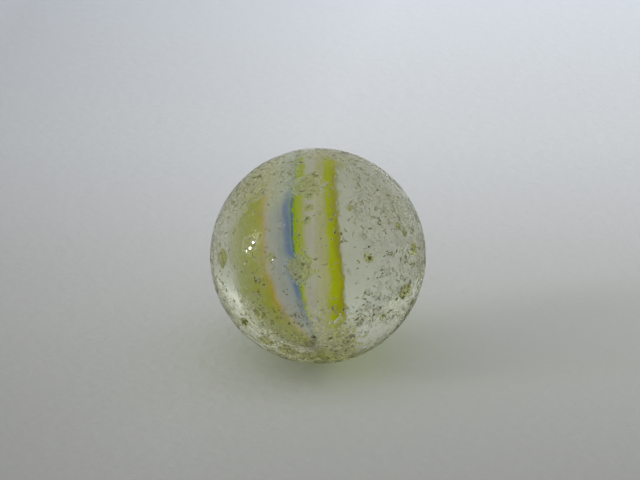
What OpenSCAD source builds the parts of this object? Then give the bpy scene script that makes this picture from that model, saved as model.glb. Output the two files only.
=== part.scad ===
// A playing marble: a clear glass ball with a striped ribbon of coloured glass inside it.
// The ball was cut from a rod of glass, and the ribbon ran along that rod. So the ribbon
// runs from pole to pole of the rod's axis, and it is widest at the waist between them.
// It has two limbs that meet along a crest, as in a strip bent along its length, and the
// crest looks to the front. Each limb is striped along its length.
// The ball's centre is at the origin, +Z is up and -Y is the front.

/* [Ball] */
// Diameter of the ball
ball_d = 16; // [15:0.5:25]
// Thickness of the clear glass between the ribbon's ends and the surface
skin_t = 0.65; // [0.4:0.05:0.9]

/* [Rod] */
// Angle between the rod's axis and the vertical, leaning to the back
rod_lean = 62; // [0:1:90]
// Turn of the leaning axis about the vertical
rod_turn = 1.4; // [-45:0.1:45]
// How far outside the ball the ribbon's edges would meet
pole_out = 0.32; // [0.1:0.02:1]

/* [Ribbon] */
// Thickness of the ribbon
ribbon_t = 0.5; // [0.3:0.05:0.8]
// Distance at the waist from the rod's axis to the front limb
front_bow = 2.2; // [1.8:0.1:2.6]
// Way that the hollow side of the front limb faces, about the rod's axis
front_turn = 40; // [35:1:45]
// Distance at the waist from the rod's axis to the back limb
back_bow = 1; // [0.8:0.1:1.2]
// Way that the hollow side of the back limb faces, about the rod's axis
back_turn = -15; // [-20:1:-10]

/* [Stripes of the front limb] */
// Outer edge of the blue stripe, measured from the middle of the limb
blue_edge = 0.5; // [0.3:0.05:0.8]
// Width of the milky stripe
milk_w = 1.2; // [0.8:0.1:1.5]
// Width of the orange thread
orange_w = 0.25; // [0.2:0.05:0.4]
// Width of the pale yellow wing
wing_w = 2.2; // [1.5:0.1:2.6]

/* [Stripes of the back limb] */
// Outer edge of the yellow stripe, measured from the middle of the limb
yellow_edge = 1.4; // [1:0.1:1.8]
// Width of the white stripe
white_w = 3; // [2.5:0.1:3.2]
// Width of the lemon stripe
lemon_w = 1.05; // [0.8:0.05:1.2]
// Width of the amber edge
amber_w = 0.5; // [0.3:0.05:0.6]

/* [Chips] */
// Depth of the deepest chip in the surface
chip_depth = 0.16; // [0.12:0.01:0.2]

/* [Hidden] */
$fn = 256;

ball_r = ball_d / 2;
pole_r = ball_r + pole_out;

milk_edge = blue_edge + milk_w;
orange_edge = milk_edge + orange_w;
wing_edge = orange_edge + wing_w;

white_edge = yellow_edge + white_w;
lemon_edge = white_edge + lemon_w;
amber_end = lemon_edge + amber_w;

// Each chip: turn from the front, height angle, width, and depth as a share of the deepest
chips = [
    [-12, 64, 2.1, 1.0],
    [-11, 19, 1.8, 1.0],
    [-63, 11, 1.6, 0.8],
    [53, -4, 1.6, 0.9],
    [65, 15, 1.1, 0.8],
    [-8, 44, 0.8, 0.6],
    [11, 46, 0.8, 0.6],
    [12, 37, 0.6, 0.5],
    [29, 22, 0.9, 0.6]
];

// Radius of the sphere that passes through both poles and stands bow away from their axis
function bowed_r(bow) = (bow * bow + pole_r * pole_r) / (2 * bow);

// Places its children in the frame of the rod: the axis along Z, the front at -Y
module in_rod() {
    rotate([-rod_lean, 0, rod_turn]) children();
}

// The solid sphere behind a limb's hollow side; grow moves its surface outwards
module limb_sphere(bow, turn, grow = 0) {
    r = bowed_r(bow);
    rotate([0, 0, turn]) translate([r - bow, 0, 0]) sphere(r + grow);
}

// The space on the near side of a stripe's edge, for an edge at that distance along the limb.
// An edge within the limb's own bow is cut by a plane through the rod's axis, and one further
// out by a sphere through both poles, so that every edge runs from pole to pole.
module before_edge(edge, bow, turn) {
    rotate([0, 0, turn])
        if (edge < bow) {
            rotate([0, 0, -atan(edge / bow)])
                translate([-2 * ball_d, -4 * ball_d, -2 * ball_d]) cube(4 * ball_d);
        } else {
            r = bowed_r(edge);
            translate([0, edge - r, 0]) sphere(r);
        }
}

// The whole front limb: it lies under its front face, and stops at the back limb's face
module front_limb() {
    difference() {
        limb_sphere(front_bow, front_turn);
        limb_sphere(front_bow, front_turn, -ribbon_t);
        limb_sphere(back_bow, back_turn);
    }
}

// The whole back limb: it lies outside its hollow face, and starts behind the front limb
module back_limb() {
    intersection() {
        difference() {
            limb_sphere(back_bow, back_turn, ribbon_t);
            limb_sphere(back_bow, back_turn);
        }
        limb_sphere(front_bow, front_turn, -ribbon_t);
    }
}

// The part of the rod that ended inside the ball, under the clear skin
module inside_skin() {
    intersection() {
        sphere(ball_r - skin_t);
        in_rod() children();
    }
}

// A stripe of the front limb between two edges; the first stripe has no near edge
module front_stripe(near, far) {
    inside_skin() difference() {
        intersection() {
            front_limb();
            before_edge(far, front_bow, front_turn);
        }
        if (near != undef) before_edge(near, front_bow, front_turn);
    }
}

// A stripe of the back limb between two edges; the first stripe has no near edge
module back_stripe(near, far) {
    inside_skin() difference() {
        intersection() {
            back_limb();
            before_edge(far, back_bow, back_turn);
        }
        if (near != undef) before_edge(near, back_bow, back_turn);
    }
}

// A shallow round chip, cut by a sphere that dips its full depth below the surface
module chip(turn, height, width, depth) {
    half = width / 2;
    dip = depth - half * half / (2 * ball_r);
    r = half * half / (2 * dip);
    rotate([0, 0, turn]) rotate([-height, 0, 0]) translate([0, -ball_r - r + depth, 0]) sphere(r);
}

module blue_stripe() {
    color("#6f86b4") front_stripe(undef, blue_edge);
}

module milk_stripe() {
    color("#c3c6c6") front_stripe(blue_edge, milk_edge);
}

module orange_thread() {
    color("#cf9a4e") front_stripe(milk_edge, orange_edge);
}

module yellow_wing() {
    color("#d3d09a") front_stripe(orange_edge, wing_edge);
}

module yellow_stripe() {
    color("#cdd23c") back_stripe(undef, yellow_edge);
}

module white_stripe() {
    color("#e8e8d8") back_stripe(yellow_edge, white_edge);
}

module lemon_stripe() {
    color("#dbe51e") back_stripe(white_edge, lemon_edge);
}

module amber_edge() {
    color("#b9a94e") back_stripe(lemon_edge, amber_end);
}

module clear_glass() {
    color([0.86, 0.9, 0.86, 0.35]) difference() {
        sphere(ball_r);
        for (c = chips) chip(c[0], c[1], c[2], c[3] * chip_depth);
        front_stripe(undef, wing_edge);
        back_stripe(undef, amber_end);
    }
}

clear_glass();
blue_stripe();
milk_stripe();
orange_thread();
yellow_wing();
yellow_stripe();
white_stripe();
lemon_stripe();
amber_edge();
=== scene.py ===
# %% [markdown]
# # A worn glass marble
# A playing marble is a ball of clear glass with a ribbon of coloured glass inside it. This one is
# old: its surface is full of pits, and there is dirt in them. The ball does two things to what is
# seen through it. It enlarges the ribbon by half as much again, and it turns the room upside down.
# Both could be painted on, but then they would be wrong from every other side. So the ribbon, the
# floor and the light are real geometry here, and the glass bends the rays.

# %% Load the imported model
import math

import bpy
import numpy as np
from mathutils import Matrix, Vector, noise


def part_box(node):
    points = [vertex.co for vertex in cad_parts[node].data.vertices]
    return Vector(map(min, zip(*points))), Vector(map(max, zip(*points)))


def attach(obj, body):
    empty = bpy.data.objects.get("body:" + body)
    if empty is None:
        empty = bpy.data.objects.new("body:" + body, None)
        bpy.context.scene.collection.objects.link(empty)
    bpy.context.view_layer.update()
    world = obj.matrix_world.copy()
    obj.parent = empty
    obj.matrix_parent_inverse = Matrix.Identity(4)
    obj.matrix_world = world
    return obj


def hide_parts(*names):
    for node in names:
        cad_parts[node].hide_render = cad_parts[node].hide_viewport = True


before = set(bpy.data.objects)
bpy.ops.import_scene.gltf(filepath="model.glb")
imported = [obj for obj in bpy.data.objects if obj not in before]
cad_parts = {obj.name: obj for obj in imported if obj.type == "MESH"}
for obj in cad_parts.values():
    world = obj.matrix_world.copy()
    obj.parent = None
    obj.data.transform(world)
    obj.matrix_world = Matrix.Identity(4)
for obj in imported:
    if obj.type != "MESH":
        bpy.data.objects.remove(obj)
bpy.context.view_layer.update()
MM = 0.001
low, high = (Vector(corner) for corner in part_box("clear_glass"))
BALL_R = (high.z - low.z) / 2
FLOOR_Z = low.z
print("ball radius in mm:", round(BALL_R / MM, 3), "nodes:", sorted(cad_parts))

# %% [markdown]
# ## The camera
# The photograph looks down on the marble from about 25 degrees above the table. A wide lens close
# by would bulge the ball, so a long lens stands some way off, which gives the same calm
# perspective as the photograph. The marble sits a little below the picture's middle. The camera is
# moved by the same amount instead of turned, because that keeps the ball's outline round.

# %% Place the camera
PICTURE_W, PICTURE_H = 640, 480
BALL_PX = Vector((318.0, 256.0))
BALL_RADIUS_PX = 108.0
VIEW_ELEVATION = math.radians(25)
VIEW_DISTANCE = 0.24

look = Vector((0, math.cos(VIEW_ELEVATION), -math.sin(VIEW_ELEVATION)))
right = Vector((1, 0, 0))
up = right.cross(look)
metres_per_px = BALL_R / BALL_RADIUS_PX
aim = right * (PICTURE_W / 2 - BALL_PX.x) * metres_per_px
aim += up * (BALL_PX.y - PICTURE_H / 2) * metres_per_px

camera_data = bpy.data.cameras.new("camera")
camera = bpy.data.objects.new("camera", camera_data)
bpy.context.scene.collection.objects.link(camera)
camera_data.sensor_fit = "HORIZONTAL"
camera_data.angle = 2 * math.atan(PICTURE_W / 2 * metres_per_px / VIEW_DISTANCE)
camera_data.clip_start = 0.005
camera_data.clip_end = 20
camera.location = aim - look * VIEW_DISTANCE
camera.rotation_euler = look.to_track_quat("-Z", "Y").to_euler()
bpy.context.scene.camera = camera
print("lens in mm:", round(camera_data.lens, 1))

# %% [markdown]
# ## Helpers for materials
# Every finish here is a small tree of nodes. They could be made by hand in the shader editor, but
# then nobody could read how. Short helpers keep the trees readable: one adds a node and sets its
# inputs, and the others are the few kinds of node that come back all the time.

# %% Define the helpers that make nodes


def new_material(name):
    material = bpy.data.materials.new(name)
    material.use_nodes = True
    material.node_tree.nodes.clear()
    return material, material.node_tree


def add(tree, kind, inputs=None, **settings):
    """Adds a node. Each input is a socket to link from, or a plain value."""
    node = tree.nodes.new(kind)
    for key, value in settings.items():
        setattr(node, key, value)
    for key, value in (inputs or {}).items():
        if isinstance(value, bpy.types.NodeSocket):
            tree.links.new(value, node.inputs[key])
        else:
            node.inputs[key].default_value = value
    return node


def math_node(tree, operation, a, b=0.0, c=0.0, clamp=False):
    inputs = {0: a, 1: b, 2: c}
    return add(tree, "ShaderNodeMath", inputs, operation=operation, use_clamp=clamp).outputs[0]


def times(tree, a, b):
    return math_node(tree, "MULTIPLY", a, b)


def larger(tree, a, b):
    return math_node(tree, "MAXIMUM", a, b)


def dot(tree, a, b):
    return add(tree, "ShaderNodeVectorMath", {0: a, 1: b}, operation="DOT_PRODUCT").outputs[1]


def remap(tree, value, from_low, from_high, to_low=0.0, to_high=1.0, smooth=False):
    kind = "SMOOTHSTEP" if smooth else "LINEAR"
    inputs = {"Value": value, 1: from_low, 2: from_high, 3: to_low, 4: to_high}
    return add(tree, "ShaderNodeMapRange", inputs, interpolation_type=kind).outputs[0]


# %% Define the helpers for places and colours


def object_place(tree):
    return add(tree, "ShaderNodeTexCoord").outputs["Object"]


def place_in_mm(tree):
    place = object_place(tree)
    return add(tree, "ShaderNodeVectorMath", {0: place, 3: 1 / MM}, operation="SCALE").outputs[0]


def noise_at(tree, place, scale, detail, output=0):
    inputs = {"Vector": place, "Scale": scale, "Detail": detail}
    return add(tree, "ShaderNodeTexNoise", inputs).outputs[output]


def mix_colour(tree, factor, a, b, blend="MIX"):
    inputs = {0: factor, 6: a, 7: b}
    return add(tree, "ShaderNodeMix", inputs, data_type="RGBA", blend_type=blend).outputs[2]


def linear(red, green, blue, alpha=1.0):
    """Turns a colour as a screen shows it, 0 to 255, into the linear light that a shader takes."""
    def one(value):
        value /= 255
        return value / 12.92 if value <= 0.04045 else ((value + 0.055) / 1.055) ** 2.4
    return (one(red), one(green), one(blue), alpha)


def colour_run(tree, value, run, unit=1.0):
    """A run of colours. Each stop is a place, a colour, and how opaque it is there."""
    first, last = run[0][0], run[-1][0]
    ramp = add(tree, "ShaderNodeValToRGB", {0: remap(tree, value, first * unit, last * unit)})
    stops = ramp.color_ramp.elements
    stops.remove(stops[1])
    for number, (at, colour, *solid) in enumerate(run):
        where = (at - first) / (last - first)
        stop = stops[0] if number == 0 else stops.new(where)
        stop.position, stop.color = where, linear(*colour, *solid)
    return ramp.outputs


print("middle grey in linear light:", round(linear(128, 128, 128)[0], 3))

# %% [markdown]
# ## The table and the wall
# The marble lies on pale paper that runs up into a wall, so there is no hard line behind it. A
# plane for the table and another for the wall would meet in a line, so one bent sheet does it:
# flat, then a wide curve, then upright. Its colour is painted shade and light: warm grey near the
# camera to white far away, and darker to the far left. That matters inside the marble too, because
# the glass turns the room upside down and shows the far, white part of the paper at the bottom of
# the ball.

# %% Build the sweep of paper
SWEEP_HALF_WIDTH = 0.9
SWEEP_FRONT, SWEEP_BACK = -0.9, 0.34
SWEEP_RADIUS = 0.16
SWEEP_TOP = 0.9
CURVE_STEPS = 24


def sweep_profile():
    points = [(SWEEP_FRONT, 0.0), (0.0, 0.0)]
    for step in range(CURVE_STEPS + 1):
        angle = math.radians(90 * step / CURVE_STEPS)
        y = SWEEP_BACK - SWEEP_RADIUS + SWEEP_RADIUS * math.sin(angle)
        points.append((y, SWEEP_RADIUS * (1 - math.cos(angle))))
    points.append((SWEEP_BACK, SWEEP_TOP))
    return points


vertices = []
for y, z in sweep_profile():
    for side in (-1, 1):
        vertices.append((side * SWEEP_HALF_WIDTH, y, z + FLOOR_Z))
faces = [(i, i + 1, i + 3, i + 2) for i in range(0, len(vertices) - 2, 2)]
sweep_mesh = bpy.data.meshes.new("paper_sweep")
sweep_mesh.from_pydata(vertices, [], faces)
for polygon in sweep_mesh.polygons:
    polygon.use_smooth = True
sweep = bpy.data.objects.new("paper_sweep", sweep_mesh)
bpy.context.scene.collection.objects.link(sweep)
print("sweep faces:", len(faces))

# %% Colour the paper
# Each stop is a place along the table, in mm from the marble, and the colour there. The run is
# painted shade near the camera and painted light far away
PAPER_SHADE_RUN = [
    (-26, (150, 150, 145)), (-6, (166, 166, 162)), (14, (182, 182, 180)),
    (40, (205, 207, 208)), (75, (220, 224, 229)), (160, (255, 255, 255)),
]
# Painted shade makes the paper darker to the far left: over which width in mm, by how much, and
# the slant of it
PAPER_LEFT, PAPER_RIGHT = -42, -8
LEFT_SHADE = 0.66
LEFT_SLANT = -0.2
# The grain has so many waves in each metre, and so many layers of detail
GRAIN = (1100.0, 2.0)
GRAIN_STRENGTH, GRAIN_DEPTH = 0.28, 0.3 * MM

paper, tree = new_material("pale_paper")
place = object_place(tree)
axes = add(tree, "ShaderNodeSeparateXYZ", {0: place}).outputs
# The colour along the table is painted shade and light, not the paper's own tone
shade_along_table = colour_run(tree, axes[1], PAPER_SHADE_RUN, MM)[0]
slanted = math_node(tree, "MULTIPLY_ADD", axes[1], LEFT_SLANT, axes[0])
shade = remap(tree, slanted, PAPER_LEFT * MM, PAPER_RIGHT * MM, LEFT_SHADE, 1.0)
shaded = mix_colour(tree, 1.0, shade_along_table, shade, blend="MULTIPLY")
grain = noise_at(tree, place, *GRAIN)
bump = {"Strength": GRAIN_STRENGTH, "Distance": GRAIN_DEPTH, "Height": grain}
rise = add(tree, "ShaderNodeBump", bump).outputs[0]
surface = add(tree, "ShaderNodeBsdfDiffuse", {"Color": shaded, "Normal": rise})
add(tree, "ShaderNodeOutputMaterial", {"Surface": surface.outputs[0]})
sweep_mesh.materials.append(paper)
print("colours along the paper:", len(PAPER_SHADE_RUN))

# %% [markdown]
# ## The light
# A tall window to the far left gives the long, soft shadow, and a pale room gives the rest of the
# light. A ring of lamps could imitate the room, but every lamp would show as a bright shape in the
# glass. So the room is the world's colour, and only the window is a lamp, which stands low and a
# little towards the camera. The room is darker behind the camera and to the sides, so the glass
# shows no bright haze of reflections there.

# %% Set the room's light
WORLD_LIGHT = 1.68
ROOM_COLOUR = linear(250, 252, 255)
# The room is brightest upwards and ahead, and darker to both sides
UP_PULL, AHEAD_PULL, SIDE_PULL = 0.75, 0.8, -0.4
# The pull at the dark and at the bright end, and the share of light there
ROOM_SHADES = (-0.45, 0.65, 0.24, 1.0)

world = bpy.data.worlds.new("room")
world.use_nodes = True
tree = world.node_tree
sky = tree.nodes["Background"]
way = add(tree, "ShaderNodeTexCoord").outputs["Generated"]
axes = add(tree, "ShaderNodeSeparateXYZ", {0: way}).outputs
pull = math_node(tree, "MULTIPLY_ADD", axes[2], UP_PULL, times(tree, axes[1], AHEAD_PULL))
pull = math_node(tree, "MULTIPLY_ADD", math_node(tree, "ABSOLUTE", axes[0]), SIDE_PULL, pull)
share = remap(tree, pull, *ROOM_SHADES, smooth=True)
tree.links.new(mix_colour(tree, share, (0, 0, 0, 1), ROOM_COLOUR), sky.inputs["Color"])
sky.inputs["Strength"].default_value = WORLD_LIGHT
bpy.context.scene.world = world
bpy.context.scene.view_settings.view_transform = "Standard"
print("light of the room:", WORLD_LIGHT)

# %% Hang the window
WINDOW_POWER = 2.3
WINDOW_SIZE = (0.16, 0.28)
WINDOW_AZIMUTH = math.radians(190)
WINDOW_ELEVATION = math.radians(18)
WINDOW_DISTANCE = 0.8

window_data = bpy.data.lights.new("window", "AREA")
window_data.shape = "RECTANGLE"
window_data.size, window_data.size_y = WINDOW_SIZE
window_data.energy = WINDOW_POWER
window = bpy.data.objects.new("window", window_data)
flat = math.cos(WINDOW_ELEVATION)
towards = Vector((flat * math.cos(WINDOW_AZIMUTH), flat * math.sin(WINDOW_AZIMUTH),
                  math.sin(WINDOW_ELEVATION)))
window.location = towards * WINDOW_DISTANCE
window.rotation_euler = (-towards).to_track_quat("-Z", "Y").to_euler()
# Seen through the glass, the window was brighter than in the photograph
window.visible_transmission = False
bpy.context.scene.collection.objects.link(window)
print("window stands at:", [round(value, 2) for value in window.location])

# %% [markdown]
# ## The worn ball
# The real ball is covered with chips and pits from play. A ball for refraction needs even faces,
# because each face bends the light. The usual round mesh crowds narrow faces at two poles, so a
# grid is wrapped from the six sides of a cube instead, which gives nearly equal squares all over.
# The wear is then pressed into its points: first the chips that the photograph shows, then
# thousands of small pits. Everything is pressed inwards, so that the ball stays inside its true
# size.

# %% Wrap a grid round the ball
SIDE_STEPS = 128
CUBE_SIDES = [((1, 0, 0), (0, 1, 0), (0, 0, 1)), ((-1, 0, 0), (0, 0, 1), (0, 1, 0)),
              ((0, 1, 0), (0, 0, 1), (1, 0, 0)), ((0, -1, 0), (1, 0, 0), (0, 0, 1)),
              ((0, 0, 1), (1, 0, 0), (0, 1, 0)), ((0, 0, -1), (0, 1, 0), (1, 0, 0))]


def cube_ball(steps):
    """Gives the unit directions of a grid on a ball, and the four corners of each of its faces."""
    places, index, quads = [], {}, []
    angle = np.tan(np.linspace(-math.pi / 4, math.pi / 4, steps + 1))
    for out, across, along in CUBE_SIDES:
        out, across, along = (np.array(v, float) for v in (out, across, along))
        grid = out + angle[:, None, None] * across + angle[None, :, None] * along
        ids = np.zeros((steps + 1, steps + 1), int)
        for i in range(steps + 1):
            for j in range(steps + 1):
                key = tuple(np.round(grid[i, j], 6))
                ids[i, j] = index.setdefault(key, len(places))
                if ids[i, j] == len(places):
                    places.append(grid[i, j])
        corners = [ids[:-1, :-1], ids[1:, :-1], ids[1:, 1:], ids[:-1, 1:]]
        quads.append(np.stack(corners, -1).reshape(-1, 4))
    places = np.array(places)
    return places / np.linalg.norm(places, axis=1)[:, None], np.concatenate(quads)


directions, quads = cube_ball(SIDE_STEPS)
print("ball points:", len(directions), "triangles:", 2 * len(quads))

# %% Measure places on the ball
RAGGED_SCALE, RIPPLE_SCALE = 14.0, 36.0


def way_of(turn, height):
    """The direction of a place on the ball: turn from the front and height, in degrees."""
    turn, height = math.radians(turn), math.radians(height)
    flat = math.cos(height)
    return np.array([flat * math.sin(turn), -flat * math.cos(turn), math.sin(height)])


def rough_field(scale, seed, detail=3):
    """Soft cloudy values, about -1 to 1, at every point of the ball."""
    offset = Vector((seed * 7.3, seed * 3.1, seed * 5.7))
    values = [noise.fractal(Vector(d) * scale + offset, 0.8, 2.0, detail) for d in directions]
    return np.array(values)


def dish(turn, height, radius, stretch):
    """1 in the middle of a round patch, falling to 0 at its edge; stretch makes the edge ragged."""
    distance = np.linalg.norm(directions - way_of(turn, height), axis=1) * BALL_R / MM
    return np.clip(1 - (distance / radius * stretch) ** 2, 0, 1)


ragged = rough_field(RAGGED_SCALE, 1)
ripple = rough_field(RIPPLE_SCALE, 2)
depth, mottle, frost, dirt, chipped = (np.zeros(len(directions)) for _ in range(5))
print("raggedness from", round(ragged.min(), 2), "to", round(ragged.max(), 2))

# %% Press in the chips
# Each chip: turn and height in degrees, width and depth in mm, share of dirt
CHIPS = [
    (-12, 64, 2.3, 0.13, 0.26), (-10, 19, 2.3, 0.13, 0.18), (-63, 11, 1.6, 0.128, 0.35),
    (53, -4, 1.6, 0.144, 0.45), (65, 15, 1.1, 0.128, 0.35), (-8, 44, 0.6, 0.03, 0.4),
    (29, 22, 0.8, 0.03, 0.16), (-7, 51, 0.5, 0.04, 0.4), (27, 49, 0.5, 0.03, 0.4),
    (58, 31, 0.6, 0.07, 0.4), (61, 26, 0.6, 0.07, 0.4), (38, -14, 0.6, 0.07, 0.4),
    (-27, 22, 0.8, 0.07, 0.2), (-44, 25, 1.2, 0.05, 0.1), (-46, -21, 1.0, 0.08, 0.5),
    (-32, -11, 1.3, 0.08, 0.35), (3, -35, 1.8, 0.08, 0.24), (8, -43, 2.0, 0.08, 0.24),
    (-7, -42, 2.0, 0.08, 0.22), (-20, -37, 1.8, 0.08, 0.35), (-34, -32, 1.4, 0.06, 0.3),
]
CHIP_STRETCH, CHIP_RAGGED = 1.1, 0.4
CHIP_EDGE = 2.5
BOWL_POWER = 1.6
# The broken floor of a chip, in mm: its small ripples and its larger steps
FLOOR_RIPPLE, FLOOR_STEPS = 0.05, 0.04

for turn, height, width, deep, dirty in CHIPS:
    inside = dish(turn, height, width / 2, CHIP_STRETCH + CHIP_RAGGED * ragged)
    soft = np.clip(inside * CHIP_EDGE, 0, 1)
    floor = FLOOR_RIPPLE * soft * (0.5 + ripple) + FLOOR_STEPS * soft * (1 + ragged)
    depth = np.maximum(depth, deep * inside ** BOWL_POWER + floor)
    chipped = np.maximum(chipped, soft)
    mottle = np.maximum(mottle, soft)
    dirt = np.maximum(dirt, dirty * soft)
print("chips:", len(CHIPS), "share of the ball:", round(chipped.mean(), 3))

# %% Add the specks of old dirt
# Each speck: turn and height in degrees, width in mm
SPECKS = [
    (7, -23, 0.30), (17, -24, 0.34), (18, -27, 0.32), (22, -16, 0.24), (28, -22, 0.24),
    (61, -4, 0.28), (56, -29, 0.32), (-81, 57, 0.5), (-86, 54, 0.4), (-108, 62, 0.3),
    (-118, 69, 0.3), (5, -31, 0.25), (52, 3, 0.3), (48, -3, 0.3), (57, 0, 0.3),
    (9, 44, 0.3), (12, 46, 0.24), (11, 37, 0.22), (14, 32, 0.3), (50, -2, 0.3),
    (55, -6, 0.26), (58, -2, 0.3), (52, -8, 0.3), (46, -6, 0.22), (60, -9, 0.3),
    (44, 12, 0.24), (40, 20, 0.2), (33, 10, 0.2), (25, 0, 0.2), (35, -8, 0.24),
    (49, 20, 0.24), (62, 8, 0.3), (15, 36, 0.3), (30, 21, 0.28), (28, 23, 0.2),
]
SPECK_RAGGED = 0.4
SPECK_DEPTH = 0.003
SPECK_EDGE, SPECK_DIRT = 3, 0.95

for turn, height, width in SPECKS:
    inside = dish(turn, height, width / 2, 1 + SPECK_RAGGED * ripple)
    depth = np.maximum(depth, SPECK_DEPTH * inside)
    dirt = np.maximum(dirt, np.clip(inside * SPECK_EDGE, 0, 1) * SPECK_DIRT)
print("specks:", len(SPECKS))

# %% Frost the scoured patches
# Each patch: turn and height in degrees, radius in mm, how far it is frosted, share of dirt
FROSTED = [
    (-40, 20, 2.6, 0.12, 0.05), (-2, -36, 3.4, 0.9, 0.25), (-20, -28, 2.4, 0.6, 0.2),
    (-95, 44, 3.6, 0.35, 0.42), (66, 42, 2.6, 0.15, 0.24), (44, 51, 1.8, 0.0, 0.24),
    (40, 22, 1.6, 0.0, 0.12), (-35, -15, 2.0, 0.4, 0.16), (64, -15, 0.55, 0.0, 0.8),
    (65, -23, 0.55, 0.0, 0.8), (71, -35, 0.55, 0.0, 0.8), (66, -42, 0.55, 0.0, 0.8),
    (61, -48, 0.55, 0.0, 0.8), (-118, 45, 1.1, 0.0, 0.5), (-94, 40, 1.1, 0.0, 0.5),
]
FROST_RAGGED, FROST_EDGE = 0.35, 1.4

for turn, height, radius, amount, dirty in FROSTED:
    inside = np.clip(FROST_EDGE * dish(turn, height, radius, 1 + FROST_RAGGED * ragged), 0, 1)
    frost = np.maximum(frost, amount * inside)
    dirt = np.maximum(dirt, dirty * inside)
print("frosted, mean:", round(frost.mean(), 3))

# %% Find where the small wear crowds together
# Each spared patch, where the skin stayed smooth: turn and height in degrees, radius in mm.
# The last two are on the back. The ball enlarges what is there, and the photograph shows it clear
SPARED = [
    (3, 32, 3.8), (8, 5, 2.8), (12, 45, 1.6), (-14, 52, 2.6), (4, 76, 2.4), (12, 62, 2.0),
    (13, 20, 2.0), (-44, 40, 2.2), (-20, 8, 2.0), (-22, 30, 1.8), (-48, -2, 1.8), (-52, 18, 3.0),
    (46, -36, 2.4), (32, -28, 1.8), (-48, -38, 1.8), (180, -25, 3.6), (160, -20, 2.6),
]
CROWD_MEAN, CROWD_SWING, CROWD_LEAST = 0.72, 0.9, 0.15
CROWD_SCALE = 2.4
SPARED_RAGGED, SPARED_EDGE, SPARED_BY = 0.3, 1.6, 0.9
CROWD_IN_CHIPS = 0.8

crowd = np.clip(CROWD_MEAN + CROWD_SWING * rough_field(CROWD_SCALE, 3), CROWD_LEAST, 1)
for turn, height, radius in SPARED:
    inside = np.clip(SPARED_EDGE * dish(turn, height, radius, 1 + SPARED_RAGGED * ragged), 0, 1)
    crowd *= 1 - SPARED_BY * inside
crowd = np.maximum(crowd, CROWD_IN_CHIPS * chipped)
print("crowding, mean:", round(crowd.mean(), 2))

# %% Press small pits all over
PIT_SEED = 11
PIT_COUNT = 6500
PIT_RADIUS = (0.09, 0.30)
PIT_DEPTH_SHARE = (0.02, 0.08)
PIT_DIRT = 0.6
PIT_RAGGED, PIT_EDGE = 0.6, 2

draw = np.random.default_rng(PIT_SEED)
kept = 0
for _ in range(PIT_COUNT):
    centre = draw.normal(size=3)
    centre /= np.linalg.norm(centre)
    radius = PIT_RADIUS[0] + (PIT_RADIUS[1] - PIT_RADIUS[0]) * draw.random() ** 3
    deep = radius * draw.uniform(*PIT_DEPTH_SHARE)
    dirty = PIT_DIRT * draw.random() ** 2
    keep = draw.random()
    away = 1 - directions @ centre
    near = np.nonzero(away < (radius * MM / BALL_R) ** 2)[0]
    if len(near) == 0 or keep > crowd[near[0]]:
        continue
    share = away[near] * 2 * (BALL_R / MM / radius) ** 2
    inside = np.clip(1 - share * (1 + PIT_RAGGED * ripple[near]), 0, 1)
    depth[near] = np.maximum(depth[near], deep * inside)
    dirt[near] = np.maximum(dirt[near], dirty * np.clip(inside * PIT_EDGE, 0, 1))
    kept += 1
print("pits pressed:", kept)

# %% Make the ball's mesh
# Even the smooth skin swells and ripples a little. All of these are in mm
SWELL_SCALE = 5.0
SWELL_DEPTH, RIPPLE_DEPTH = 0.006, 0.0007
LEAST_DEPTH, MOST_DEPTH = 0.001, 0.3

depth += SWELL_DEPTH * (1 + rough_field(SWELL_SCALE, 4)) + RIPPLE_DEPTH * (1 + ripple)
depth = np.clip(depth, LEAST_DEPTH, MOST_DEPTH)
places = directions * (BALL_R - depth * MM)[:, None]
ball_mesh = bpy.data.meshes.new("clear_ball")
ball_mesh.from_pydata(places.tolist(), [], quads.tolist())
for polygon in ball_mesh.polygons:
    polygon.use_smooth = True
wear = {"mottle": mottle, "frost": frost, "dirt": dirt, "crowd": crowd}
for name, values in wear.items():
    layer = ball_mesh.attributes.new(name, "FLOAT", "POINT")
    layer.data.foreach_set("value", values.astype(np.float32))
ball = bpy.data.objects.new("clear_ball", ball_mesh)
bpy.context.scene.collection.objects.link(ball)
print("deepest wear in mm:", round(depth.max(), 3), "mean:", round(depth.mean(), 4))

# %% [markdown]
# ## The clear glass and its dirt
# On the real marble the finest marks are smaller than the faces of the mesh: tiny round pits,
# short bent scratches, and a grey-green film of dirt. More faces could carry them, but the model
# would grow far too heavy. So the shader draws them, and four values that the mesh carries at its
# points say where: mottle inside the chips, frost on scoured patches, dirt, and crowd, which is
# how much small wear there is. The scratches are bits of contour line of a noise, because such
# lines are thin and bent. Dirt does three things at once: it tints the glass, blocks part of the
# view, and makes it rough. The film is also painted shade: it grows where the skin is seen at a
# shallow angle, so it paints a dark rim round the ball.

# %% Read the wear at each point
glass, tree = new_material("clear_worn_glass")
in_mm = place_in_mm(tree)
mottled, frosted, dirty, crowded = (
    add(tree, "ShaderNodeAttribute", attribute_name=name).outputs["Fac"] for name in wear
)
print("values read from the mesh:", ", ".join(wear))

# %% Draw the tiny pits and the scratches
# A noise is given by its waves in each mm and by its layers of detail. A slope is given by where
# it starts and ends, and by the values there
CLOUDS, FINE, WARP = (1.3, 5.0), (4.0, 5.0), (3.0, 2.0)
WARP_BY = 0.45
PIT_CELLS = 3.6
TINY_PIT_SLOPE = (0.10, 0.48, 1.0, 0.0)
TINY_PITS_IN_CROWD = (0.12, 0.9, 0.0, 0.8)
CONTOUR, CONTOUR_LEVEL = (1.5, 3.0), 0.5
SCRATCH_SLOPE = (0.006, 0.024, 1.0, 0.0)
BREAKS = (2.3, 1.0)
BREAKS_IN_CROWD = (0.0, 0.9, 0.60, 0.46)
BREAK_SLOPE = (0.0, 0.05)

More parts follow.
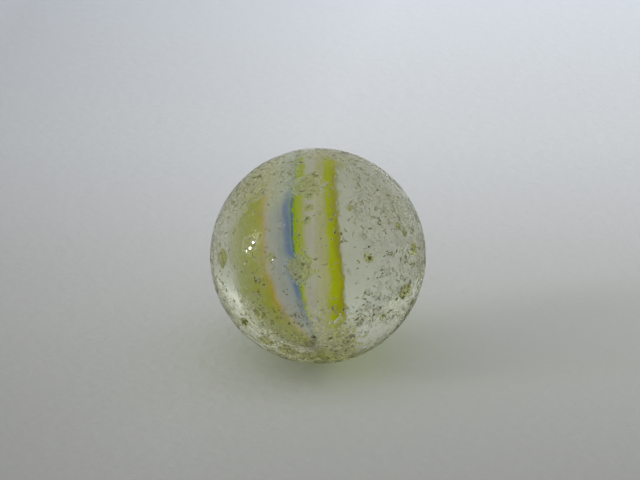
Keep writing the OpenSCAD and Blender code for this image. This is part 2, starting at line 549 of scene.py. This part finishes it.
clouds = noise_at(tree, in_mm, *CLOUDS)
fine = noise_at(tree, in_mm, *FINE)
warp = {0: noise_at(tree, in_mm, *WARP, output="Color"), 1: (WARP_BY, WARP_BY, WARP_BY), 2: in_mm}
bent = add(tree, "ShaderNodeVectorMath", warp, operation="MULTIPLY_ADD").outputs[0]
cell = add(tree, "ShaderNodeTexVoronoi", {"Vector": bent, "Scale": PIT_CELLS}, feature="F1").outputs
cell_rank = add(tree, "ShaderNodeSeparateXYZ", {0: cell["Color"]}).outputs
allowed = math_node(tree, "LESS_THAN", cell_rank[0], remap(tree, crowded, *TINY_PITS_IN_CROWD))
pit = times(tree, remap(tree, cell["Distance"], *TINY_PIT_SLOPE, smooth=True), allowed)

contour = noise_at(tree, in_mm, *CONTOUR)
off_line = math_node(tree, "ABSOLUTE", math_node(tree, "SUBTRACT", contour, CONTOUR_LEVEL))
line = remap(tree, off_line, *SCRATCH_SLOPE, smooth=True)
broken = remap(tree, crowded, *BREAKS_IN_CROWD)
gap = math_node(tree, "SUBTRACT", noise_at(tree, in_mm, *BREAKS), broken)
scratch = times(tree, line, remap(tree, gap, *BREAK_SLOPE))
print("nodes for the marks:", len(tree.nodes))

# %% Raise and sink the surface
# Depths are in mm
FROST_UNREST = 0.6
FINE_IN_UNREST = (0, 1, 0.003, 0.17)
TINY_PIT_DEPTH, SCRATCH_DEPTH = -0.003, -0.008

unrest = larger(tree, mottled, times(tree, frosted, FROST_UNREST))
relief = times(tree, fine, remap(tree, unrest, *FINE_IN_UNREST))
relief = math_node(tree, "MULTIPLY_ADD", pit, TINY_PIT_DEPTH, relief)
relief = math_node(tree, "MULTIPLY_ADD", scratch, SCRATCH_DEPTH, relief)
bump = {"Strength": 1.0, "Distance": MM, "Height": relief}
worn = add(tree, "ShaderNodeBump", bump).outputs[0]
print("nodes with the relief:", len(tree.nodes))

# %% Gather the dirt
TINY_PIT_DIRT = (0.0, 1.0, 0.08, 0.4)
# The film of dirt covers more where the skin is seen at a shallow angle, and it is also painted
# shade: it darkens the rim in the same way from every side
RIM_SHADE_FILM_SLOPE, RIM_SHADE_FILM_CLOUDS = (0.58, 0.84, 0.0, 0.6), (0.40, 0.54)
# Fine noise breaks up the pale dirt, and the named specks stay whole
BROKEN_BY_FINE = (0.42, 0.57, 0.1, 1.15)
WHOLE_SPECK = (0.85, 0.95, 0.0, 0.45)
SMUDGE_CLOUDS, SMUDGE_IN_CROWD = (0.46, 0.62, 0.0, 0.22), (0.08, 0.40)
FLECK_FINE = (0.50, 0.60, 0.0, 0.3)
SCRATCH_DIRT = 0.6

shallow = add(tree, "ShaderNodeLayerWeight", {"Blend": 0.5}).outputs["Facing"]
film_and_rim_shade = times(tree, remap(tree, shallow, *RIM_SHADE_FILM_SLOPE), remap(tree, clouds, *RIM_SHADE_FILM_CLOUDS))
pit_dirt = times(tree, pit, remap(tree, cell_rank[1], *TINY_PIT_DIRT))
# This carries the real dirt and the painted shade of the rim together
grime_and_rim_shade = larger(tree, larger(tree, dirty, film_and_rim_shade), pit_dirt)
grime_and_rim_shade = times(tree, grime_and_rim_shade, remap(tree, fine, *BROKEN_BY_FINE))
grime_and_rim_shade = larger(tree, grime_and_rim_shade, remap(tree, dirty, *WHOLE_SPECK))
smudge = times(tree, remap(tree, clouds, *SMUDGE_CLOUDS), remap(tree, crowded, *SMUDGE_IN_CROWD))
fleck = times(tree, remap(tree, fine, *FLECK_FINE), mottled)
grime_and_rim_shade = larger(tree, grime_and_rim_shade, larger(tree, smudge, fleck))
grime_and_rim_shade = larger(tree, grime_and_rim_shade, times(tree, scratch, SCRATCH_DIRT))
print("nodes with the dirt:", len(tree.nodes))

# %% Roughen, veil and tint the glass
ROUGH_IN_CROWD = (0, 1, 0.06, 0.19)
ROUGH_BY_PIT, ROUGH_BY_UNREST, ROUGH_BY_GRIME_AND_RIM_SHADE = 0.08, 0.06, 0.55
CLEAR_TO_FROSTED = (0, 1, 0.985, 0.80)
GLASS_TINT = (0.86, 0.855, 0.775, 1)
WORN_TINT = (0.80, 0.81, 0.40, 1)
WORN_TINT_SHARE = 0.85
# The dirt colour is also the colour of the painted shade at the rim
DIRT_AND_RIM_SHADE_COLOUR = linear(96, 94, 38)
STAIN_BY_GRIME_AND_RIM_SHADE = 1.8

rough = remap(tree, crowded, *ROUGH_IN_CROWD)
rough = math_node(tree, "MULTIPLY_ADD", pit, ROUGH_BY_PIT, rough)
rough = math_node(tree, "MULTIPLY_ADD", unrest, ROUGH_BY_UNREST, rough)
rough = math_node(tree, "MULTIPLY_ADD", grime_and_rim_shade, ROUGH_BY_GRIME_AND_RIM_SHADE, rough, clamp=True)
veil = remap(tree, frosted, *CLEAR_TO_FROSTED)
see_through = times(tree, veil, math_node(tree, "SUBTRACT", 1.0, grime_and_rim_shade, clamp=True))
worn_tint = mix_colour(tree, times(tree, unrest, WORN_TINT_SHARE), GLASS_TINT, WORN_TINT)
stained_and_shaded = math_node(tree, "MULTIPLY", grime_and_rim_shade, STAIN_BY_GRIME_AND_RIM_SHADE, clamp=True)
tint = mix_colour(tree, stained_and_shaded, worn_tint, DIRT_AND_RIM_SHADE_COLOUR)
print("tint of the clean glass:", GLASS_TINT[:3])

# %% Put the glass together
# Lamp and room light goes straight through the glass with one tint, because rays that bend on
# their way to a lamp would need far more samples. The body gives thick glass its faint green
INDEX = 1.5
SHINE_TINT = (0.10, 0.10, 0.07, 1)
LAMP_TINT = (0.85, 0.88, 0.73, 1)
BODY_TINT = (0.58, 0.66, 0.32, 1)
BODY_DENSITY = 30.0

finish = {"Base Color": tint, "Roughness": rough, "Normal": worn, "Transmission Weight": see_through,
          "IOR": INDEX, "Specular Tint": SHINE_TINT}
pure = add(tree, "ShaderNodeBsdfPrincipled", finish)
see = add(tree, "ShaderNodeBsdfTransparent", {"Color": LAMP_TINT})
path = add(tree, "ShaderNodeLightPath").outputs
let_light_in = larger(tree, path["Is Shadow Ray"], path["Is Diffuse Ray"])
both = add(tree, "ShaderNodeMixShader", {0: let_light_in, 1: pure.outputs[0], 2: see.outputs[0]})
body = add(tree, "ShaderNodeVolumeAbsorption", {"Color": BODY_TINT, "Density": BODY_DENSITY})
add(tree, "ShaderNodeOutputMaterial", {"Surface": both.outputs[0], "Volume": body.outputs[0]})
ball_mesh.materials.append(glass)
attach(ball, "root")
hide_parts("clear_glass")
print("nodes in the glass:", len(tree.nodes))

# %% [markdown]
# ## The fresh facets
# On the left of the marble a few tiny breaks are so fresh that they mirror the window as bright
# sparks. The pits of the mesh are too coarse for that, and a stronger shine would brighten the
# whole ball. So a few flakes lie in the surface, all turned nearly the same way. Each is mostly
# clear, with a metal-like shine that stands in for the mirror of broken glass.

# %% Lay the fresh facets
# Each facet: turn and height in degrees, width in mm
FACETS = [
    (-41, 27, 0.19), (-42, 23.5, 0.20), (-44, 21.5, 0.12), (-43, 15, 0.09), (-26, 21, 0.07),
    (-43, 31, 0.10), (-60, 30, 0.06), (-38, 24, 0.08), (-46, 19, 0.08),
]
# All are turned towards one place with a little spread, and lie so many mm under the skin
GLINT_TURN, GLINT_HEIGHT = -41, 27
GLINT_SPREAD = 0.02
FACET_CORNERS, FACET_RAGGED = 7, 0.5
FACET_SUNK = 0.01

glint_way = Vector(way_of(GLINT_TURN, GLINT_HEIGHT))
vertices, faces = [], []
for number, (turn, height, width) in enumerate(FACETS):
    facing = (glint_way + GLINT_SPREAD * noise.noise_vector(Vector((number, 2.5, 7.5)))).normalized()
    side = facing.orthogonal().normalized()
    other = facing.cross(side)
    centre = Vector(way_of(turn, height)) * (BALL_R - FACET_SUNK * MM)
    for corner in range(FACET_CORNERS):
        angle = 2 * math.pi * corner / FACET_CORNERS
        ragged_by = 1 + FACET_RAGGED * noise.noise(Vector((number, corner, 0.5)))
        reach = width / 2 * MM * ragged_by
        vertices.append(centre + (side * math.cos(angle) + other * math.sin(angle)) * reach)
    faces.append(range(number * FACET_CORNERS, (number + 1) * FACET_CORNERS))
facet_mesh = bpy.data.meshes.new("fresh_facets")
facet_mesh.from_pydata(vertices, [], faces)
facets = bpy.data.objects.new("fresh_facets", facet_mesh)
bpy.context.scene.collection.objects.link(facets)
print("facets laid:", len(faces))

# %% Give the facets their shine
FACET_COLOUR = (0.9, 0.9, 0.88, 1)
FACET_ROUGHNESS = 0.12
FACET_ALPHA = 0.22

facet_glass, tree = new_material("fresh_facet")
finish = {"Base Color": FACET_COLOUR, "Metallic": 1.0, "Roughness": FACET_ROUGHNESS,
          "Alpha": FACET_ALPHA}
shine = add(tree, "ShaderNodeBsdfPrincipled", finish)
add(tree, "ShaderNodeOutputMaterial", {"Surface": shine.outputs[0]})
facet_mesh.materials.append(facet_glass)
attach(facets, "root")
print("share of shine in a facet:", FACET_ALPHA)

# %% [markdown]
# ## The striped ribbon
# The ribbon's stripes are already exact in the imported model, so they keep their shape and get a
# finish. One flat colour for each piece would look like cut plastic, because stripes of molten
# glass melt into each other. So every limb has one run of colours across it, and the pieces of a
# limb all read that run. Where a point lies along the run is worked out from its place: each edge
# of a stripe is an arc from pole to pole of the glass rod, and the arc through the point says how
# far out it is.

# %% Read the rod's frame
# The rod's lean, turn and pole, and the turns of the limbs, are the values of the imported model
ROD_LEAN, ROD_TURN = math.radians(62), math.radians(1.4)
POLE_OUT = 0.32

pole_r = BALL_R / MM + POLE_OUT
rod = Matrix.Rotation(ROD_TURN, 3, "Z") @ Matrix.Rotation(-ROD_LEAN, 3, "X")


def arc_place(tree, in_mm, limb_turn):
    """Distance along a limb, in mm at its waist, of the pole-to-pole arc through a point."""
    limb = rod @ Matrix.Rotation(math.radians(limb_turn), 3, "Z")
    rest = math_node(tree, "SUBTRACT", pole_r ** 2, dot(tree, in_mm, in_mm))
    wide = times(tree, dot(tree, in_mm, limb.col[1][:]), 2 * pole_r)
    rest_squared = math_node(tree, "POWER", rest, 2.0)
    squares = math_node(tree, "ADD", rest_squared, times(tree, wide, wide))
    reach = math_node(tree, "ADD", rest, math_node(tree, "SQRT", squares))
    return math_node(tree, "DIVIDE", times(tree, wide, pole_r), reach)


print("rod's axis:", [round(value, 3) for value in rod.col[2]])

# %% Write the runs of colour
# Each stop: distance along the limb in mm, colour, and how opaque the glass is there
FRONT_RUN = [
    (-0.40, (140, 164, 180), 1.0), (-0.15, (126, 144, 200), 1.0), (0.02, (146, 158, 208), 1.0),
    (0.26, (184, 188, 208), 1.0), (1.45, (202, 198, 206), 1.0), (1.74, (210, 192, 160), 1.0),
    (1.88, (204, 178, 84), 1.0), (2.12, (186, 182, 76), 1.0), (2.70, (178, 180, 84), 0.95),
    (3.20, (178, 180, 92), 0.74), (3.75, (174, 174, 96), 0.45), (4.15, (170, 172, 110), 0.05),
]
BACK_RUN = [
    (-2.05, (180, 226, 30), 1.0), (-1.10, (200, 236, 0), 1.0), (-0.30, (232, 240, 60), 1.0),
    (0.80, (238, 242, 130), 1.0), (1.30, (246, 242, 200), 1.0), (1.80, (250, 244, 255), 1.0),
    (2.90, (250, 244, 255), 1.0), (3.50, (246, 240, 226), 1.0), (4.46, (246, 240, 205), 1.0),
    (4.70, (240, 246, 0), 1.0), (5.12, (234, 238, 0), 1.0), (5.40, (220, 214, 0), 1.0),
    (5.62, (208, 198, 40), 0.95), (5.80, (196, 188, 90), 0.7), (5.95, (190, 186, 130), 0.25),
]
# Each limb: its turn about the rod, its run, where on the rod its top grows pale, its stripes
LIMBS = {
    "front": (40, FRONT_RUN, (2.5, 5.5),
              ["blue_stripe", "milk_stripe", "orange_thread", "yellow_wing"]),
    "back": (-15, BACK_RUN, (7.0, 10.0),
             ["yellow_stripe", "white_stripe", "lemon_stripe", "amber_edge"]),
}
for limb, (limb_turn, run, *_) in LIMBS.items():
    print("the", limb, "limb turns", limb_turn, "degrees and has", len(run), "stops of colour")

# %% Find the place along the run
NOISE_RANGE = (0.3, 0.7)
# The edges of the stripes waver by so many mm
WAVER = 0.18
# Down the rod the outer colours lie further out, so the lemon stripe grows narrower: between these
# heights, by this many mm, and in full beyond the second of these distances along the limb
NARROW_TO, NARROW_FROM, NARROW_BY = -1.8, 0.4, 0.6
NARROW_AT = (2.2, 4.0)


def melted_place(tree, in_mm, limb_turn, drift, height):
    """Where a point lies along its limb's run, with the wavering of molten glass."""
    waver = remap(tree, drift, *NOISE_RANGE, -WAVER, WAVER)
    place = math_node(tree, "ADD", arc_place(tree, in_mm, limb_turn), waver)
    narrow = remap(tree, height, NARROW_TO, NARROW_FROM, -NARROW_BY, 0.0, smooth=True)
    return math_node(tree, "MULTIPLY_ADD", narrow, remap(tree, place, *NARROW_AT), place)


print("stripes waver by mm:", WAVER)

# %% Grow pale towards the poles
# Both poles are paler: where on the rod it starts and ends below, by what share, how far it
# wavers, and between which distances along the limb it all but ends, so that the outer stripes
# stay bright
LOW_FADE = (-7.0, -1.5)
PALE_SHARE = 0.55
FADE_WAVER = 3.0
INNER_STRIPES = (1.5, 2.2, 1.0, 0.12)
PALE_MILK = linear(214, 216, 188)


def pale_share(tree, place, drift, height, high_fade):
    height = math_node(tree, "MULTIPLY_ADD", drift, FADE_WAVER, height)
    below = remap(tree, height, *LOW_FADE, PALE_SHARE, 0.0, smooth=True)
    above = remap(tree, height, *high_fade, 0.0, PALE_SHARE, smooth=True)
    return times(tree, larger(tree, below, above), remap(tree, place, *INNER_STRIPES))


print("paleness at the poles:", PALE_SHARE)

# %% Cook the cloudy glass
DRIFT, STREAKS = (0.5, 2.0), (2.4, 3.0)
STREAK_DRIFT = 2.0
STREAK_SHADES = (0.90, 1.05)
# The share of light that comes through the stripe from behind
THROUGH_SHARE = 0.35


def cloudy_glass(name, limb_turn, run, high_fade):
    material, tree = new_material(name)
    in_mm = place_in_mm(tree)
    drift = noise_at(tree, in_mm, *DRIFT)
    height = dot(tree, in_mm, rod.col[2][:])
    place = melted_place(tree, in_mm, limb_turn, drift, height)
    colour, solid = colour_run(tree, place, run)
    fade = pale_share(tree, place, drift, height, high_fade)
    paler = mix_colour(tree, fade, colour, PALE_MILK)
    streak_at = {0: place, 1: times(tree, drift, STREAK_DRIFT)}
    streak_place = add(tree, "ShaderNodeCombineXYZ", streak_at).outputs[0]
    streak = noise_at(tree, streak_place, *STREAKS)
    darker = remap(tree, streak, *NOISE_RANGE, *STREAK_SHADES)
    shade = add(tree, "ShaderNodeVectorMath", {0: paler, 3: darker}, operation="SCALE").outputs[0]
    front = add(tree, "ShaderNodeBsdfDiffuse", {"Color": shade}).outputs[0]
    through = add(tree, "ShaderNodeBsdfTranslucent", {"Color": shade}).outputs[0]
    milk = add(tree, "ShaderNodeMixShader", {0: THROUGH_SHARE, 1: front, 2: through}).outputs[0]
    clear = add(tree, "ShaderNodeBsdfTransparent").outputs[0]
    cloudy = add(tree, "ShaderNodeMixShader", {0: solid, 1: clear, 2: milk}).outputs[0]
    add(tree, "ShaderNodeOutputMaterial", {"Surface": cloudy})
    return material


for limb, (limb_turn, run, high_fade, stripes) in LIMBS.items():
    for stripe in stripes:
        material = cloudy_glass(stripe + "_glass", limb_turn, run, high_fade)
        stripe_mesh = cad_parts[stripe].data
        stripe_mesh.materials.clear()
        stripe_mesh.materials.append(material)
    print("dressed the", limb, "limb:", ", ".join(stripes))
